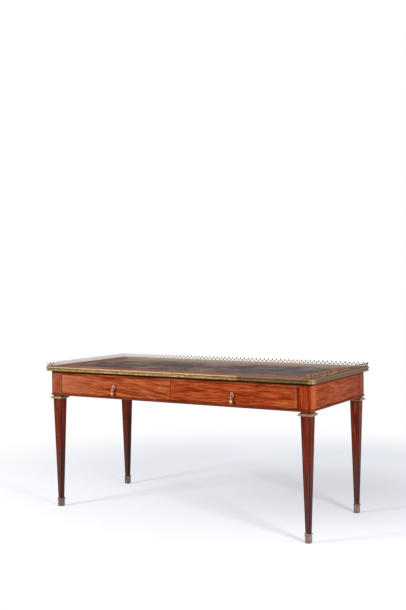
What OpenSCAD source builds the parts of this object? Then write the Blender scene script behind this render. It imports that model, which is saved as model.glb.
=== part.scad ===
// Flat-topped writing desk on four square tapered legs, with two frieze drawers,
// a leather writing surface, a moulded metal edge and an openwork gallery.
// Millimetres. X runs to the right, Y to the back, Z up. The origin lies on the
// floor under the middle of the top.

/* [Overall size] */
// Height of the top edge above the floor
table_h = 760; // [700:5:800]
// Width of the frame over the corner posts
frame_w = 1516; // [1300:10:1700]
// Depth of the frame over the corner posts
frame_d = 680; // [620:10:760]
// Distance the top stands out past the posts
overhang = 26; // [20:1:36]

/* [Frieze] */
// Height of the frieze from its lower edge to the underside of the top
frieze_h = 132; // [120:1:150]
// Thickness of the side and back boards
apron_t = 22; // [20:1:26]
// Distance the frieze faces lie behind the post faces
face_setback = 1; // [0.5:0.5:3]
// Height of the rounded bead along the lower edge
bead_h = 9; // [7:0.5:11]
// Height of the rail above the drawers
rail_top_h = 20; // [18:1:30]
// Height of the rail under the drawers
rail_low_h = 15; // [14:0.5:18]
// Thickness of the upright board between the drawers
divider_t = 16; // [12:1:20]
// Length of each tenon
tenon_len = 24; // [18:1:26]
// Thickness of the tenons on the boards
tenon_t = 12; // [8:0.5:14]
// Width of the tenons on the drawer rails
rail_tenon_w = 30; // [20:1:34]
// Shoulder above and below each rail tenon
rail_shoulder = 3.5; // [3:0.5:5]
// Shoulder below each board tenon
tenon_low = 14; // [10:1:20]
// Shoulder above each board tenon
tenon_high = 18; // [12:1:24]

/* [Corner posts and legs] */
// Side of the square corner post
post_w = 60; // [56:1:66]
// Side of the leg under its collar
leg_top_w = 50; // [44:1:50]
// Side of the leg where it enters the shoe
leg_foot_w = 22; // [20:0.5:28]
// Height of the recessed neck between collar and post
neck_h = 7; // [5:0.5:10]

/* [Collars] */
// Height of the moulded collar
collar_h = 12; // [10:0.5:15]
// Distance the collar body stands out from the leg
collar_body_out = 7.5; // [6:0.5:9]
// Radius of the round moulding on the collar
collar_bead_r = 4.4; // [3.5:0.1:4.6]

/* [Foot shoes] */
// Height of the shoe
shoe_h = 46; // [40:1:55]
// Wall thickness of the shoe
shoe_wall = 2.7; // [2:0.1:3.5]
// Thickness of the sole
shoe_sole = 4; // [3:0.5:6]
// Radius of the round moulding near the rim
shoe_bead_r = 2.6; // [2:0.1:3]
// Height of the plain band above the moulding
shoe_lip_h = 3; // [2:0.5:4]
// Shoulder of the leg resting on the shoe rim
shoe_shoulder = 1; // [0.5:0.1:1.5]

/* [Top] */
// Height of the edge moulding
edge_h = 22; // [20:0.5:26]
// Thickness of the edge moulding
edge_t = 10; // [9:0.5:12]
// Radius of the rounded corners of the top
corner_r = 16; // [13:0.5:20]
// Height the round lip stands above the flat surface
lip = 0.4; // [0.3:0.1:0.8]
// Radius of the upper round moulding
edge_top_r = 3.75; // [3:0.25:4]
// Radius of the lower round moulding
edge_low_r = 3.5; // [3:0.25:3.75]
// Depth of the groove between the two round mouldings
edge_groove = 1.2; // [0.6:0.1:1.5]
// Width of the veneered border round the leather
border_w = 110; // [80:5:140]
// Thickness of the veneered border
border_t = 3; // [2:0.5:4]
// Distance the leather lies below the border
leather_drop = 0.4; // [0.2:0.1:0.8]

/* [Gallery] */
// Height of the gallery
gallery_h = 23; // [20:1:32]
// Thickness of the gallery
gallery_t = 1.6; // [1.2:0.1:2]
// Distance between neighbouring tips, before rounding to whole bays
gallery_pitch = 25; // [20:1:34]
// Width of the lattice bars
gallery_bar = 2; // [1.6:0.1:2.4]
// Height of the solid strip along the foot of the gallery
gallery_foot = 2.5; // [2:0.1:4]
// Distance the corners of the gallery keep from the round lip
gallery_clear = 0.1; // [0.05:0.05:1]
// Length of the short returns along the front
gallery_return = 40; // [30:1:60]
// Height of the bud on each tip
gallery_bud = 2.4; // [2:0.1:3]

/* [Drawers] */
// Gap round a closed drawer front
front_gap = 1.2; // [0.8:0.1:2]
// Gap between the two drawer fronts
middle_gap = 3; // [2:0.5:8]
// Thickness of the drawer front
front_t = 20; // [18:0.5:24]
// Thickness of the drawer sides and back
side_t = 10; // [8:0.5:12]
// Thickness of the drawer bottom
bottom_t = 6; // [4:0.5:8]
// Height of the drawer bottom above the lower edge of the sides
bottom_up = 8; // [6:0.5:12]
// Depth of the grooves that hold the drawer bottom
groove_d = 5; // [3:0.5:6]
// Length of the drawer from front to back
drawer_len = 580; // [480:10:590]
// Distance the drawer sides end below the rail above
side_drop = 4; // [2:0.5:8]
// Distance the drawer back ends below the sides
back_drop = 6; // [2:1:12]
// Length of the sliding dovetail between side and front
dovetail_len = 8; // [6:0.5:10]
// Width of the dovetail at its neck
dovetail_neck = 5.5; // [4.5:0.5:6]
// Width of the dovetail at its tip
dovetail_tip = 8; // [7:0.5:8]

/* [Runners and kickers] */
// Width of a runner under a drawer side
runner_w = 38; // [30:1:44]
// Height of the guide beside a drawer
guide_h = 20; // [14:1:26]
// Half width of the middle runner
mid_runner_half = 40; // [32:1:50]

/* [Keyhole plates] */
// Height of the keyhole above the middle of the drawer front
key_up = -5; // [-8:0.5:2]
// Radius of the middle lobe of the plate
plate_r = 10; // [8:0.5:12]
// Radius of the upper lobe
plate_top_r = 6; // [4:0.5:7]
// Radius of the lower lobe
plate_low_r = 7; // [6:0.5:8]
// Distance from the middle lobe to the upper lobe
plate_top_up = 8; // [6:0.5:9]
// Distance from the middle lobe to the lower lobe
plate_low_down = 11; // [9:0.5:12]
// Thickness of the plate
plate_t = 2; // [1.5:0.1:3]
// Radius of the round part of the keyhole
key_r = 2.2; // [1.8:0.1:2.6]
// Width of the keyhole slot
key_slot_w = 2; // [1.6:0.1:2.4]
// Length of the keyhole slot below the round part
key_slot_h = 5; // [4:0.5:6]

/* [Drop handles] */
// Distance of the hinge pin in front of the drawer face
pivot_out = 11.5; // [11:0.5:14]
// Distance of the hinge pin below the keyhole
pivot_down = 12; // [11:0.5:14]
// Radius of the hinge pin
pin_r = 1; // [0.8:0.1:1.2]
// Radius of the two round cheeks that hold the pin
cheek_r = 4; // [3.5:0.1:4.5]
// Thickness of each cheek
cheek_t = 2.4; // [2:0.1:3]
// Radius of the handle shank
shank_r = 2.2; // [1.8:0.1:2.5]
// Length of the shank inside the drawer front
shank_len = 8; // [6:0.5:9]
// Radius of the eye of the drop
eye_r = 3; // [2.8:0.1:3.2]
// Thickness of the eye of the drop
eye_t = 3; // [2.4:0.1:3.6]
// Radius of the neck of the drop
drop_neck_r = 1.4; // [1.2:0.1:1.5]
// Radius of the round belly of the drop
drop_r = 9.2; // [8:0.1:9.6]
// Distance from the hinge pin to the middle of the belly
drop_down = 18; // [17:0.5:20]
// Radius of the small ball under the belly
drop_ball_r = 2.2; // [1.8:0.1:2.6]

/* [Locks] */
// Width of the lock case
lock_w = 46; // [40:1:56]
// Thickness of the lock case
lock_t = 9; // [8.6:0.1:10]
// Distance the lock case reaches below the keyhole
lock_below = 11; // [10:0.5:14]
// Wall thickness of the lock case
lock_wall = 1.5; // [1:0.1:1.8]
// Width of the bolt
bolt_w = 20; // [16:1:24]
// Distance the bolt ends below the upper edge of the drawer front
bolt_sink = 0.6; // [0.4:0.1:1]
// Depth of the pocket for the bolt in the rail above
strike_depth = 10; // [9:0.5:12]

/* [Clearances] */
// Gap between a sliding piece and what guides it
slide_gap = 0.3; // [0.25:0.05:0.5]
// Play of the drop round its hinge pin
pin_play = 0.05; // [0.03:0.01:0.08]
// Play of pins and shanks held in their holes
peg_play = 0.02; // [0.01:0.01:0.03]
// Gap round the bolt in the pocket above it
strike_gap = 0.6; // [0.4:0.1:1]

/* [Hidden] */
$fn = 96;

// Heights
top_z = table_h - edge_h;
surface_z = table_h - lip;
core_top_z = surface_z - border_t;
frieze_z = top_z - frieze_h;
neck_z = frieze_z - neck_h;
collar_z = neck_z - collar_h;
drawer_floor_z = frieze_z + rail_low_h;
drawer_roof_z = top_z - rail_top_h;

// Plan positions, all measured from the middle
post_x = (frame_w - post_w) / 2;
post_y = (frame_d - post_w) / 2;
inner_x = post_x - post_w / 2;
inner_y = post_y - post_w / 2;
face_u = post_w / 2 - face_setback;
apron_in_u = face_u - apron_t;
back_in_y = post_y + apron_in_u;
front_face_y = post_y + face_u;
top_x = frame_w / 2 + overhang;
top_y = frame_d / 2 + overhang;
core_x = top_x - edge_t;
core_y = top_y - edge_t;
leather_x = core_x - border_w;
leather_y = core_y - border_w;
round_x = top_x - corner_r;
round_y = top_y - corner_r;
core_r = corner_r - edge_t;
lip_half = sqrt(edge_top_r * edge_top_r - (edge_top_r - lip) * (edge_top_r - lip));
flat_r = corner_r - edge_top_r - lip_half - gallery_clear;
corner_x = round_x + flat_r / sqrt(2) - gallery_t;
corner_y = round_y + flat_r / sqrt(2) - gallery_t;
bead_lift = 0.6;
past = 20;

// Rails and tenons
rail_d = face_u + post_w / 2;
apron_tenon_u = apron_in_u + (apron_t - tenon_t) / 2;
rail_tenon_u = face_u - rail_d / 2 - rail_tenon_w / 2;
rail_top_tenon_h = rail_top_h - 2 * rail_shoulder;
rail_low_tenon_h = rail_low_h - 2 * rail_shoulder;

// Shoes
foot_tenon = leg_foot_w - 2 * shoe_shoulder;
shoe_w = foot_tenon + 2 * shoe_wall;
shoe_bead_z = shoe_h - shoe_lip_h - shoe_bead_r;
shoe_toe = 1.5;

// Drawers, in their own frame: x outwards from the middle of the front, y back from its face
front_w = inner_x - front_gap - middle_gap / 2;
front_h = drawer_roof_z - drawer_floor_z - 2 * front_gap;
drawer_x = middle_gap / 2 + front_w / 2;
drawer_z = drawer_floor_z + front_gap;
side_low = slide_gap - front_gap;
side_h = drawer_roof_z - drawer_floor_z - side_drop;
side_out_x = front_w / 2 - slide_gap;
side_mid_x = (divider_t - middle_gap) / 2 + 3 * slide_gap - front_w / 2;
bottom_low = side_low + bottom_up;
back_low = bottom_low + bottom_t;
back_h = side_h - bottom_up - bottom_t - back_drop;
divider_front_y = front_face_y - front_t - slide_gap;

// Locks and handles
key_z = front_h / 2 + key_up;
pivot_z = key_z - pivot_down;
lock_y = front_t - lock_t;
lock_low = key_z - lock_below;
bolt_t = lock_t - 2 * lock_wall - 2 * slide_gap;
bolt_y = lock_y + lock_wall + slide_gap;
bolt_low = lock_low + lock_wall + slide_gap;
bolt_h = front_h - bolt_sink - bolt_low;
bolt_notch_r = key_slot_h + slide_gap;
half_slot = eye_t / 2 + slide_gap;
head_w = 2 * (half_slot + cheek_t);
head_back = eye_r + slide_gap;
cone_low = drop_down - drop_r / 2;
cone_r = drop_r * sqrt(3) / 2;
neck_end = cheek_r + slide_gap;
drop_shoulder_r = 1.6;

// Extrudes a section drawn with y and z along the X direction
module along_x(length) {
    rotate([90, 0, 90])
        linear_extrude(height = length, center = true)
            children();
}

// Extrudes a section drawn with x and z along the Y direction
module along_y(length) {
    rotate([90, 0, 0])
        linear_extrude(height = length, center = true)
            children();
}

// Box given by its lowest and highest corner
module block(low, high) {
    translate(low)
        cube(high - low);
}

// Silhouette of post, neck, tapered leg and foot tenon, outer side to the right
module leg_outline() {
    union() {
        polygon([
            [-foot_tenon / 2, shoe_sole],
            [foot_tenon / 2, shoe_sole],
            [foot_tenon / 2, shoe_h],
            [leg_foot_w / 2, shoe_h],
            [leg_top_w / 2, collar_z],
            [leg_top_w / 2, frieze_z],
            [post_w / 2, frieze_z],
            [post_w / 2, top_z],
            [-post_w / 2, top_z],
            [-post_w / 2, frieze_z],
            [-leg_top_w / 2, frieze_z],
            [-leg_top_w / 2, collar_z],
            [-leg_foot_w / 2, shoe_h],
            [-foot_tenon / 2, shoe_h]
        ]);
        bead_round();
    }
}

// Round part of the frieze bead
module bead_round() {
    translate([face_u, frieze_z + bead_lift + bead_h / 2])
        circle(d = bead_h);
}

// Square leg whose outer faces look to plus X and plus Y
module leg_blank() {
    intersection() {
        along_x(post_w + past)
            leg_outline();
        along_y(post_w + past)
            leg_outline();
    }
}

// Tenon of a side board, as it sits in the post
module apron_tenon() {
    block(
        [apron_tenon_u, -post_w / 2, frieze_z + tenon_low],
        [apron_tenon_u + tenon_t, tenon_len - post_w / 2, top_z - tenon_high]
    );
}

// Tenon of the back board, as it sits in the post
module back_tenon() {
    block(
        [-post_w / 2, apron_tenon_u, frieze_z + tenon_low],
        [tenon_len - post_w / 2, apron_tenon_u + tenon_t, top_z - tenon_high]
    );
}

// Tenon of a drawer rail, as it sits in the post
module rail_tenon(low, height) {
    block(
        [-post_w / 2, rail_tenon_u, low],
        [tenon_len - post_w / 2, rail_tenon_u + rail_tenon_w, low + height]
    );
}

// Back leg with its two mortises
module leg_back() {
    difference() {
        leg_blank();
        apron_tenon();
        back_tenon();
    }
}

// Front leg with three mortises, still facing plus Y
module leg_front() {
    difference() {
        leg_blank();
        apron_tenon();
        rail_tenon(drawer_roof_z + rail_shoulder, rail_top_tenon_h);
        rail_tenon(frieze_z + rail_shoulder, rail_low_tenon_h);
    }
}

module leg_front_left() {
    color([0.50, 0.19, 0.12])
        translate([-post_x, -post_y, 0])
            mirror([1, 0, 0])
                mirror([0, 1, 0])
                    leg_front();
}

module leg_front_right() {
    color([0.50, 0.19, 0.12])
        translate([post_x, -post_y, 0])
            mirror([0, 1, 0])
                leg_front();
}

module leg_back_left() {
    color([0.50, 0.19, 0.12])
        translate([-post_x, post_y, 0])
            mirror([1, 0, 0])
                leg_back();
}

module leg_back_right() {
    color([0.50, 0.19, 0.12])
        translate([post_x, post_y, 0])
            leg_back();
}

// Silhouette of the collar
module collar_outline() {
    union() {
        translate([-leg_top_w / 2 - collar_body_out, collar_z])
            square([leg_top_w + 2 * collar_body_out, collar_h]);
        for (side = [-1, 1])
            translate([side * (leg_top_w / 2 + collar_body_out - 1), collar_z + collar_h / 2])
                circle(r = collar_bead_r);
    }
}

// Collar round the neck of a leg
module collar(x, y) {
    color([0.74, 0.60, 0.38])
        translate([x, y, 0])
            difference() {
                intersection() {
                    along_x(post_w + past)
                        collar_outline();
                    along_y(post_w + past)
                        collar_outline();
                }
                block(
                    [-leg_top_w / 2, -leg_top_w / 2, collar_z - past],
                    [leg_top_w / 2, leg_top_w / 2, neck_z + past]
                );
            }
}

module collar_front_left() {
    collar(-post_x, -post_y);
}

module collar_front_right() {
    collar(post_x, -post_y);
}

module collar_back_left() {
    collar(-post_x, post_y);
}

module collar_back_right() {
    collar(post_x, post_y);
}

// Silhouette of the shoe
module shoe_outline() {
    union() {
        polygon([
            [shoe_toe - shoe_w / 2, 0],
            [shoe_w / 2 - shoe_toe, 0],
            [shoe_w / 2, shoe_toe],
            [shoe_w / 2, shoe_h],
            [-shoe_w / 2, shoe_h],
            [-shoe_w / 2, shoe_toe]
        ]);
        for (side = [-1, 1])
            translate([side * shoe_w / 2, shoe_bead_z])
                circle(r = shoe_bead_r);
        translate([-shoe_w / 2 - shoe_lip_h / 2, shoe_h - shoe_lip_h])
            square([shoe_w + shoe_lip_h, shoe_lip_h]);
    }
}

// Hollow shoe under a leg
module shoe(x, y) {
    color([0.60, 0.48, 0.32])
        translate([x, y, 0])
            difference() {
                intersection() {
                    along_x(post_w)
                        shoe_outline();
                    along_y(post_w)
                        shoe_outline();
                }
                block(
                    [-foot_tenon / 2, -foot_tenon / 2, shoe_sole],
                    [foot_tenon / 2, foot_tenon / 2, shoe_h + past]
                );
            }
}

module shoe_front_left() {
    shoe(-post_x, -post_y);
}

module shoe_front_right() {
    shoe(post_x, -post_y);
}

module shoe_back_left() {
    shoe(-post_x, post_y);
}

module shoe_back_right() {
    shoe(post_x, post_y);
}

// Section of a frieze board with its bead
module apron_outline() {
    union() {
        translate([apron_in_u, frieze_z])
            square([apron_t, frieze_h]);
        bead_round();
    }
}

// Side board between the posts on the right
module apron_side() {
    union() {
        translate([post_x, 0, 0])
            along_y(2 * inner_y)
                apron_outline();
        for (turn = [0, 1])
            mirror([0, turn, 0])
                translate([post_x, post_y, 0])
                    apron_tenon();
    }
}

module apron_right() {
    color([0.66, 0.27, 0.14])
        apron_side();
}

module apron_left() {
    color([0.66, 0.27, 0.14])
        mirror([1, 0, 0])
            apron_side();
}

module apron_back() {
    color([0.66, 0.27, 0.14])
        union() {
            translate([0, post_y, 0])
                along_x(2 * inner_x)
                    apron_outline();
            for (turn = [0, 1])
                mirror([turn, 0, 0])
                    translate([post_x, post_y, 0])
                        back_tenon();
        }
}

// Tenons at both ends of a front rail
module rail_tenons(low, height) {
    for (turn = [0, 1])
        mirror([turn, 0, 0])
            translate([post_x, -post_y, 0])
                mirror([0, 1, 0])
                    rail_tenon(low, height);
}

// Pocket for a lock bolt in the rail above the drawers
module strike_pocket() {
    block(
        [
            drawer_x - bolt_w / 2 - strike_gap,
            bolt_y - strike_gap - front_face_y,
            drawer_roof_z - past
        ],
        [
            drawer_x + bolt_w / 2 + strike_gap,
            bolt_y + bolt_t + strike_gap - front_face_y,
            drawer_roof_z + strike_depth
        ]
    );
}

module rail_front_upper() {
    color([0.60, 0.23, 0.13])
        difference() {
            union() {
                block(
                    [-inner_x, -front_face_y, drawer_roof_z],
                    [inner_x, rail_d - front_face_y, top_z]
                );
                rail_tenons(drawer_roof_z + rail_shoulder, rail_top_tenon_h);
            }
            for (turn = [0, 1])
                mirror([turn, 0, 0])
                    strike_pocket();
        }
}

module rail_front_lower() {
    color([0.60, 0.23, 0.13])
        union() {
            block(
                [-inner_x, -front_face_y, frieze_z],
                [inner_x, rail_d - front_face_y, drawer_floor_z]
            );
            translate([0, -post_y, 0])
                mirror([0, 1, 0])
                    along_x(2 * inner_x)
                        bead_round();
            rail_tenons(frieze_z + rail_shoulder, rail_low_tenon_h);
        }
}

module drawer_divider() {
    color([0.42, 0.26, 0.16])
        block(
            [-divider_t / 2, -divider_front_y, drawer_floor_z],
            [divider_t / 2, back_in_y, drawer_roof_z]
        );
}

// Runner and guide under the outer side of the right drawer
module runner_side() {
    union() {
        block(
            [inner_x - runner_w, -inner_y, frieze_z],
            [post_x + apron_in_u, inner_y, drawer_floor_z]
        );
        block(
            [inner_x - front_gap, -inner_y, frieze_z],
            [post_x + apron_in_u, inner_y, drawer_floor_z + guide_h]
        );
    }
}

module runner_right() {
    color([0.62, 0.44, 0.28])
        runner_side();
}

module runner_left() {
    color([0.62, 0.44, 0.28])
        mirror([1, 0, 0])
            runner_side();
}

module runner_middle() {
    color([0.62, 0.44, 0.28])
        block(
            [-mid_runner_half, -inner_y, frieze_z],
            [mid_runner_half, back_in_y, drawer_floor_z]
        );
}

// Strip that keeps an open drawer from tipping
module kicker_side() {
    block(
        [inner_x - runner_w, -inner_y, drawer_roof_z],
        [post_x + apron_in_u, inner_y, top_z]
    );
}

module kicker_right() {
    color([0.62, 0.44, 0.28])
        kicker_side();
}

module kicker_left() {
    color([0.62, 0.44, 0.28])
        mirror([1, 0, 0])
            kicker_side();
}

module kicker_middle() {
    color([0.62, 0.44, 0.28])
        block(
            [-mid_runner_half, -inner_y, drawer_roof_z],
            [mid_runner_half, back_in_y, top_z]
        );
}

// Outline of the board inside the edge moulding, with its rounded corners
module core_outline() {
    union() {
        square([2 * core_x, 2 * round_y], center = true);
        square([2 * round_x, 2 * core_y], center = true);
        for (x = [-round_x, round_x])
            for (y = [-round_y, round_y])
                translate([x, y])
                    circle(r = core_r);
    }
}

module top_core() {
    color([0.55, 0.38, 0.24])
        translate([0, 0, top_z])
            linear_extrude(height = core_top_z - top_z)
                core_outline();
}

// Border strip with mitred ends on the front side
module border_long() {
    translate([0, 0, core_top_z])
        linear_extrude(height = border_t)
            intersection() {
                polygon([
                    [-core_x, -core_y],
                    [core_x, -core_y],
                    [leather_x, -leather_y],
                    [-leather_x, -leather_y]
                ]);
                core_outline();
            }
}

// Border strip with mitred ends on the right side
module border_short() {
    translate([0, 0, core_top_z])
        linear_extrude(height = border_t)
            intersection() {
                polygon([
                    [core_x, -core_y],
                    [core_x, core_y],
                    [leather_x, leather_y],
                    [leather_x, -leather_y]
                ]);
                core_outline();
            }
}

module border_front() {
    color([0.53, 0.36, 0.28])
        border_long();
}

module border_back() {
    color([0.53, 0.36, 0.28])
        mirror([0, 1, 0])
            border_long();
}

module border_right() {
    color([0.53, 0.36, 0.28])
        border_short();
}

module border_left() {
    color([0.53, 0.36, 0.28])
        mirror([1, 0, 0])
            border_short();
}

module leather_inset() {
    color([0.36, 0.34, 0.33])
        block(
            [-leather_x, -leather_y, core_top_z],
            [leather_x, leather_y, surface_z - leather_drop]
        );
}

// Section of the edge moulding, outer side to the right
module edge_outline() {
    flat_u = edge_t - edge_top_r;
    difference() {
        union() {
            translate([0, top_z])
                square([flat_u, edge_h - lip]);
            translate([flat_u, table_h - edge_top_r])
                circle(r = edge_top_r);
            translate([flat_u - 1, top_z + edge_low_r + 1])
                circle(r = edge_low_r);
        }
        translate([flat_u + edge_top_r - edge_groove, top_z + edge_h / 2])
            circle(r = edge_top_r);
    }
}

// Edge moulding on the right, with both rounded corners
module edge_short() {
    union() {
        translate([core_x, 0, 0])
            along_y(2 * round_y)
                edge_outline();
        for (turn = [0, 1])
            mirror([0, turn, 0])
                translate([round_x, round_y, 0])
                    rotate_extrude(angle = 90)
                        translate([core_r, 0])
                            edge_outline();
    }
}

// Edge moulding at the back, between the rounded corners
module edge_long() {
    translate([0, core_y, 0])
        along_x(2 * round_x)
            edge_outline();
}

module edge_front() {
    color([0.76, 0.60, 0.40])
        mirror([0, 1, 0])
            edge_long();
}

module edge_back() {
    color([0.76, 0.60, 0.40])
        edge_long();
}

module edge_right() {
    color([0.76, 0.60, 0.40])
        edge_short();
}

module edge_left() {
    color([0.76, 0.60, 0.40])
        mirror([1, 0, 0])
            edge_short();
}

// Flat openwork panel with crossed bars and a bud on every tip, from 0 to length
module lattice(length) {
    bays = max(1, round(length / gallery_pitch));
    bay = length / bays;
    low = gallery_foot;
    high = gallery_h - gallery_bud;
    rise = high - low;
    mid = (low + high) / 2;
    slant = sqrt(bay * bay + rise * rise);
    wide = gallery_bar / 2 * slant / rise;
    tall = gallery_bar / 2 * slant / bay;
    bud_w = gallery_bar * 0.9;
    tips = [for (k = [bays:-1:1]) each [
        if (k < bays) [k * bay + wide, high],
        if (k < bays) [k * bay + bud_w, high + gallery_bud * 0.45],
        if (k < bays) [k * bay + bud_w * 0.4, gallery_h],
        [k * bay - bud_w * 0.4, gallery_h],
        [k * bay - bud_w, high + gallery_bud * 0.45],
        [k * bay - wide, high],
        [(k - 0.5) * bay, mid + tall]
    ]];
    first_tip = [
        [wide, high],
        [bud_w, high + gallery_bud * 0.45],
        [bud_w * 0.4, gallery_h],
        [0, gallery_h]
    ];
    rim = concat([[0, 0], [length, 0], [length, gallery_h]], tips, first_tip);
    diamonds = [for (k = [1:1:bays - 1]) [
        [k * bay, low + tall],
        [(k + 0.5) * bay - wide, mid],
        [k * bay, high - tall],
        [(k - 0.5) * bay + wide, mid]
    ]];
    feet = [for (k = [0:1:bays - 1]) [
        [k * bay + wide, low],
        [(k + 1) * bay - wide, low],
        [(k + 0.5) * bay, mid - tall]
    ]];
    edge_step = gallery_bar * rise / bay;
    ends = [
        [
            [gallery_bar, low + tall + edge_step],
            [bay / 2 - wide, mid],
            [gallery_bar, high - tall - edge_step]
        ],
        [
            [length - gallery_bar, low + tall + edge_step],
            [length - bay / 2 + wide, mid],
            [length - gallery_bar, high - tall - edge_step]
        ]
    ];
    difference() {
        polygon(rim);
        for (hole = concat(diamonds, feet, ends))
            polygon(hole);
    }
}

// Gallery panel along the left
module gallery_side() {
    translate([-corner_x, -corner_y - gallery_t, surface_z])
        rotate([90, 0, 90])
            mirror([0, 0, 1])
                linear_extrude(height = gallery_t)
                    lattice(2 * (corner_y + gallery_t));
}

// Short panel round the left front corner, starting at the side panel
module gallery_front() {
    translate([-corner_x, -corner_y, surface_z])
        rotate([90, 0, 0])
            linear_extrude(height = gallery_t)
                lattice(gallery_return);
}

module gallery_left() {
    color([0.74, 0.62, 0.42])
        gallery_side();
}

module gallery_right() {
    color([0.74, 0.62, 0.42])
        mirror([1, 0, 0])
            gallery_side();
}

module gallery_front_left() {
    color([0.74, 0.62, 0.42])
        gallery_front();
}

module gallery_front_right() {
    color([0.74, 0.62, 0.42])
        mirror([1, 0, 0])
            gallery_front();
}

module gallery_back() {
    color([0.74, 0.62, 0.42])
        translate([-corner_x, corner_y + gallery_t, surface_z])
            rotate([90, 0, 0])
                linear_extrude(height = gallery_t)
                    lattice(2 * corner_x);
}

// Moves a drawer piece to the right drawer
module right_drawer() {
    translate([drawer_x, -front_face_y, drawer_z])
        children();
}

// Moves a drawer piece to the left drawer
module left_drawer() {
    mirror([1, 0, 0])
        right_drawer()
            children();
}

// Outline of a drawer side from above, with its dovetail
module side_plan() {
    half = side_t / 2;
    polygon([
        [-half, front_t],
        [-half, drawer_len],
        [half, drawer_len],
        [half, front_t],
        [dovetail_neck / 2, front_t],
        [dovetail_tip / 2, front_t - dovetail_len],
        [-dovetail_tip / 2, front_t - dovetail_len],
        [-dovetail_neck / 2, front_t]
    ]);
}

// Dovetail as a slot cutter, reaching out through the back of the front
module dovetail_slot(x) {
    translate([x, 0, -past])
        linear_extrude(height = side_low + side_h + past)
            polygon([
                [dovetail_neck / 2, front_t],
                [dovetail_tip / 2, front_t - dovetail_len],
                [-dovetail_tip / 2, front_t - dovetail_len],
                [-dovetail_neck / 2, front_t],
                [-dovetail_neck / 2, front_t + past],
                [dovetail_neck / 2, front_t + past]
            ]);
}

// Drawer bottom, which also serves to cut its grooves
module bottom_board() {
    block(
        [side_mid_x + side_t - groove_d, front_t - groove_d, bottom_low],
        [side_out_x - side_t + groove_d, drawer_len, back_low]
    );
}

// Opening of the keyhole
module key_outline() {
    union() {
        circle(r = key_r);
        translate([-key_slot_w / 2, -key_r - key_slot_h])
            square([key_slot_w, key_r + key_slot_h]);
    }
}

// Keyhole as a cutter between two depths
module key_cut(near, far) {
    translate([0, far, key_z])
        rotate([90, 0, 0])
            linear_extrude(height = far - near)
                key_outline();
}

// Round cutter or peg along Y between two depths
module rod_y(radius, near, far) {
    translate([0, far, pivot_z])
        rotate([90, 0, 0])
            cylinder(r = radius, h = far - near);
}

// Round piece along X about the hinge pin
module rod_x(radius, length) {
    translate([-length / 2, -pivot_out, pivot_z])
        rotate([0, 90, 0])
            cylinder(r = radius, h = length);
}

// Space of the lock case in the drawer front
module lock_space() {
    block(
        [-lock_w / 2, lock_y, lock_low],
        [lock_w / 2, front_t, front_h]
    );
}

module front_board() {
    difference() {
        block([-front_w / 2, 0, 0], [front_w / 2, front_t, front_h]);
        dovetail_slot(side_out_x - side_t / 2);
        dovetail_slot(side_mid_x + side_t / 2);
        bottom_board();
        block(
            [-lock_w / 2, lock_y, lock_low],
            [lock_w / 2, front_t + past, front_h + past]
        );
        key_cut(-past, lock_y + past);
        rod_y(shank_r + peg_play, -past, shank_len);
    }
}

module side_board(x) {
    difference() {
        translate([x, 0, side_low])
            linear_extrude(height = side_h)
                side_plan();
        bottom_board();
    }
}

module back_board() {
    block(
        [side_mid_x + side_t, drawer_len - 2 * side_t, back_low],
        [side_out_x - side_t, drawer_len - side_t, back_low + back_h]
    );
}

module key_plate() {
    translate([0, 0, key_z])
        rotate([90, 0, 0])
            linear_extrude(height = plate_t)
                difference() {
                    union() {
                        circle(r = plate_r);
                        translate([0, plate_top_up])
                            circle(r = plate_top_r);
                        translate([0, -plate_low_down])
                            circle(r = plate_low_r);
                    }
                    key_outline();
                    translate([0, -pivot_down])
                        circle(r = shank_r + peg_play);
                }
}

// Shank and two cheeks with the hinge pin riveted between them
module handle_post() {
    union() {
        difference() {
            union() {
                rod_y(shank_r, -plate_t, shank_len);
                rod_y(cheek_r, head_back - pivot_out - cheek_t, -plate_t);
                rod_x(cheek_r, head_w);
                block(
                    [-head_w / 2, -pivot_out, pivot_z - cheek_r],
                    [head_w / 2, head_back - pivot_out + cheek_t / 2, pivot_z + cheek_r]
                );
            }
            block(
                [-half_slot, -pivot_out - cheek_r - past, pivot_z - cheek_r - past],
                [half_slot, head_back - pivot_out, pivot_z + cheek_r + past]
            );
        }
        rod_x(pin_r, head_w);
    }
}

// Pear-shaped drop hanging from its eye
module drop_body() {
    translate([0, -pivot_out, pivot_z])
        difference() {
            union() {
                rotate([0, 90, 0])
                    cylinder(r = eye_r, h = eye_t, center = true);
                translate([0, 0, -neck_end - drop_neck_r])
                    cylinder(r = drop_neck_r, h = neck_end + drop_neck_r - 2 * pin_r);
                translate([0, 0, -cone_low])
                    cylinder(r1 = cone_r, r2 = drop_shoulder_r, h = cone_low - neck_end);
                translate([0, 0, -drop_down])
                    sphere(r = drop_r);
                translate([0, 0, -drop_down - drop_r - drop_ball_r / 2])
                    sphere(r = drop_ball_r);
            }
            rotate([0, 90, 0])
                cylinder(r = pin_r + pin_play, h = 2 * eye_t, center = true);
        }
}

module lock_case() {
    difference() {
        lock_space();
        block(
            [-bolt_w / 2 - slide_gap, bolt_y - slide_gap, bolt_low - slide_gap],
            [bolt_w / 2 + slide_gap, bolt_y + bolt_t + slide_gap, front_h + past]
        );
        key_cut(lock_y - past, bolt_y + bolt_t / 2);
    }
}

module lock_bolt() {
    difference() {
        block(
            [-bolt_w / 2, bolt_y, bolt_low],
            [bolt_w / 2, bolt_y + bolt_t, bolt_low + bolt_h]
        );
        translate([0, bolt_y + bolt_t + past, key_z])
            rotate([90, 0, 0])
                cylinder(r = bolt_notch_r, h = bolt_t + 2 * past);
        block(
            [-bolt_notch_r, bolt_y - past, bolt_low - past],
            [bolt_notch_r, bolt_y + bolt_t + past, key_z]
        );
    }
}

module drawer_left_front() {
    color([0.64, 0.25, 0.13])
        left_drawer()
            front_board();
}

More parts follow.
